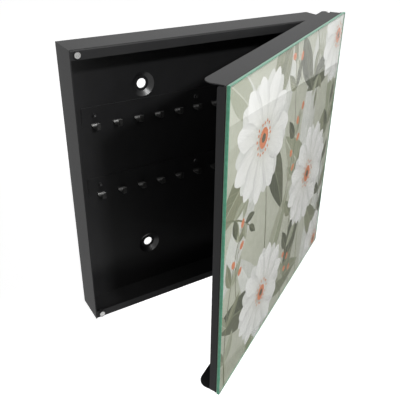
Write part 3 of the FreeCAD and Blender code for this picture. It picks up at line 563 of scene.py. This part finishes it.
def make_print():
    """The film with its picture, as one flat piece in the place of the CAD film."""
    picture = draw_picture()
    places, triangles = picture.cover()
    count = len(places)
    front, back = GLASS_THICKNESS + FILM_GAP, GLASS_THICKNESS + FILM - FILM_GAP
    points = [on_glass(p.x * MM, p.y * MM, front) for p in places]
    points += [on_glass(p.x * MM, p.y * MM, back) for p in places]
    faces = [tuple(triangle) for triangle, _ in triangles]
    edges = {(f[i], f[(i + 1) % 3]) for f in faces for i in range(3)}
    rim = [(a, b) for a, b in edges if (b, a) not in edges]
    faces += [tuple(i + count for i in reversed(face)) for face in faces]
    faces += [(b, a, a + count, b + count) for a, b in rim]

    mesh = bpy.data.meshes.new("printed_picture")
    mesh.from_pydata(points, [], faces)
    for material in print_inks():
        mesh.materials.append(material)
    layer = mesh.uv_layers.new(name="along_and_across")
    for number, (triangle, owner) in enumerate(triangles):
        _, colour, frame = picture.shapes[owner]
        polygon = mesh.polygons[number]
        polygon.material_index = colour
        for corner, place in zip(polygon.loop_indices, triangle):
            layer.data[corner].uv = picture.uv(places[place], frame)
    film = bpy.data.objects.new("printed_picture", mesh)
    bpy.context.scene.collection.objects.link(film)
    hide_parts("printed_film")
    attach(film, "door")


def set_material(node_names, material):
    for name in node_names:
        slots = frame["nodes"][name].data.materials
        slots.clear()
        slots.append(material)


coat = black_powder_coat("black_powder_coat", 0.60, 0.50, 0.25)
smooth_coat = black_powder_coat("smooth_powder_coat", 0.37, 0.29, 0.45)
hook_coat = black_powder_coat("worn_powder_coat", 0.38, 0.30, 0.4, HOOK_FACE)
plating = plated_steel()
set_material([
    "top_panel", "bottom_panel", "left_side_panel", "right_side_panel",
    "hinge_box_leaf", "hinge_door_leaf", "door_tray",
], coat)
set_material([
    "back_panel", "upper_rail_rivets", "lower_rail_rivets", "upper_magnet_cup", "lower_magnet_cup",
], smooth_coat)
set_material(["upper_hook_rail", "lower_hook_rail"], hook_coat)
set_material([
    "upper_catch_magnet", "lower_catch_magnet", "hinge_pin",
    "door_leaf_rivets", "tray_corner_rivets",
], plating)
set_material(["mounting_tape"], foam_tape())
set_material(["glass_panel"], clear_glass())
make_print()


# Floor, light and camera

def seen_directly(tree):
    """1 for camera, glossy and transmission rays, which see the white studio, and 0 for others."""
    path = tree.nodes.new("ShaderNodeLightPath")
    seen = path.outputs["Is Camera Ray"]
    for name in ("Is Glossy Ray", "Is Transmission Ray"):
        either = tree.nodes.new("ShaderNodeMath")
        either.operation = "MAXIMUM"
        tree.links.new(seen, either.inputs[0])
        tree.links.new(path.outputs[name], either.inputs[1])
        seen = either.outputs[0]
    return seen


def pale_floor():
    """A pale floor that reads white where it is lit, and keeps a soft shadow.

    Gloss and glass see it as plain white, like the rest of the studio.
    """
    n = Nodes("pale_floor")
    cloud = n.noise(0.4, 2.0)
    matt = n.add("BsdfDiffuse", {"Color": n.ramp(cloud, [(0.3, 0.60), (0.7, 0.63)])})
    glow = n.add("Emission", {"Color": (1, 1, 1, 1)})
    path = n.add("LightPath").outputs
    n.link(n.math("MULTIPLY", path["Is Camera Ray"], FLOOR_GLOW), glow.inputs["Strength"])
    lit = n.add("AddShader")
    n.link(matt.outputs[0], lit.inputs[0])
    n.link(glow.outputs[0], lit.inputs[1])
    white = n.add("Emission", {"Color": (1, 1, 1, 1), "Strength": 1.0})
    mirrored = n.math("MAXIMUM", path["Is Glossy Ray"], path["Is Transmission Ray"])
    whole = n.add("MixShader", {0: mirrored})
    n.link(lit.outputs[0], whole.inputs[1])
    n.link(white.outputs[0], whole.inputs[2])
    return n.finish(whole.outputs[0])


def lay_sheet(name, outline, lift, material):
    """A flat sheet on the stage, lift above the level of the floor."""
    mesh = bpy.data.meshes.new(name)
    level = cad_box[0].z - FLOOR_DROP + lift
    mesh.from_pydata([(x, y, level) for x, y in outline], [], [tuple(range(len(outline)))])
    mesh.materials.append(material)
    sheet = bpy.data.objects.new(name, mesh)
    bpy.context.scene.collection.objects.link(sheet)
    return sheet


def make_floor():
    half = FLOOR_HALF
    corners = [(-half, -half), (half, -half), (half, half), (-half, half)]
    lay_sheet("floor", corners, 0.0, pale_floor())


def make_world():
    """White where the camera, gloss or glass sees it, and a softer light on everything else."""
    world = bpy.data.worlds.new("studio")
    bpy.context.scene.world = world
    world.use_nodes = True
    tree = world.node_tree
    tree.nodes.clear()
    lights = []
    for strength in (AMBIENT, 1.0):
        light = tree.nodes.new("ShaderNodeBackground")
        light.inputs["Color"].default_value = (1, 1, 1, 1)
        light.inputs["Strength"].default_value = strength
        lights.append(light)
    mixed = tree.nodes.new("ShaderNodeMixShader")
    tree.links.new(seen_directly(tree), mixed.inputs[0])
    tree.links.new(lights[0].outputs[0], mixed.inputs[1])
    tree.links.new(lights[1].outputs[0], mixed.inputs[2])
    output = tree.nodes.new("ShaderNodeOutputWorld")
    tree.links.new(mixed.outputs[0], output.inputs["Surface"])


def make_lamp(name, way, distance, size, power):
    """A square soft lamp in the direction way, aimed at the middle of the object."""
    data = bpy.data.lights.new(name, "AREA")
    data.shape = "SQUARE"
    data.size = size
    data.energy = power
    lamp = bpy.data.objects.new(name, data)
    bpy.context.scene.collection.objects.link(lamp)
    lamp.location = Vector(way).normalized() * distance
    lamp.rotation_mode = "QUATERNION"
    lamp.rotation_quaternion = (-Vector(way)).to_track_quat("-Z", "Y")
    lamp.visible_camera = False
    return lamp


def make_card():
    """A dark card beside the object that only gloss sees, so that the glass mirrors less white: it
    glows, and is a painted reflection.

    It glows paler beyond a dark seam, a painted paler reflection.
    """
    n = Nodes("dark_card")
    place = n.add("SeparateXYZ", {0: n.place()}).outputs
    across = n.math("ADD", n.math("MULTIPLY", place["X"], CARD_SEAM_WAY[0]),
                    n.math("MULTIPLY", place["Y"], CARD_SEAM_WAY[1]))
    from_seam = n.math("SUBTRACT", across, CARD_SEAM)
    painted_reflection_veil = n.ramp(n.math("ADD", from_seam, 0.5), CARD_REFLECTION_TONES)
    fade = n.ramp(place["Y"], CARD_FADE)
    # Emission: the card's tones are light that it gives off, a painted reflection seen only in
    # gloss.
    dark = n.add("Emission", {"Strength": 1.0})
    n.link(n.mix_colour(1.0, painted_reflection_veil, fade, "MULTIPLY"), dark.inputs["Color"])
    card = lay_sheet("dark_card", CARD_OUTLINE, CARD_LIFT, n.finish(dark.outputs[0]))
    card.visible_camera = False
    card.visible_diffuse = False
    card.visible_transmission = False
    card.visible_shadow = False


def make_camera():
    data = bpy.data.cameras.new("camera")
    data.lens = LENS
    data.sensor_width = SENSOR
    data.shift_x, data.shift_y = SHIFT
    data.clip_start = 0.01
    data.clip_end = 50
    camera = bpy.data.objects.new("camera", data)
    bpy.context.scene.collection.objects.link(camera)
    heading = Matrix.Rotation(CAMERA_HEADING, 4, "Z")
    tilt = Matrix.Rotation(math.pi / 2 + CAMERA_TILT, 4, "X")
    roll = Matrix.Rotation(CAMERA_ROLL, 4, "Z")
    camera.matrix_world = Matrix.Translation(CAMERA_PLACE) @ heading @ tilt @ roll
    bpy.context.scene.camera = camera


make_floor()
make_world()
for lamp_name, lamp_settings in LAMPS.items():
    lamp = make_lamp(lamp_name, *lamp_settings)
    if lamp_name == GLOSS_LAMP:
        lamp.visible_diffuse = False
        lamp.visible_transmission = False
make_card()
make_camera()

bpy.context.scene.view_settings.view_transform = "Standard"
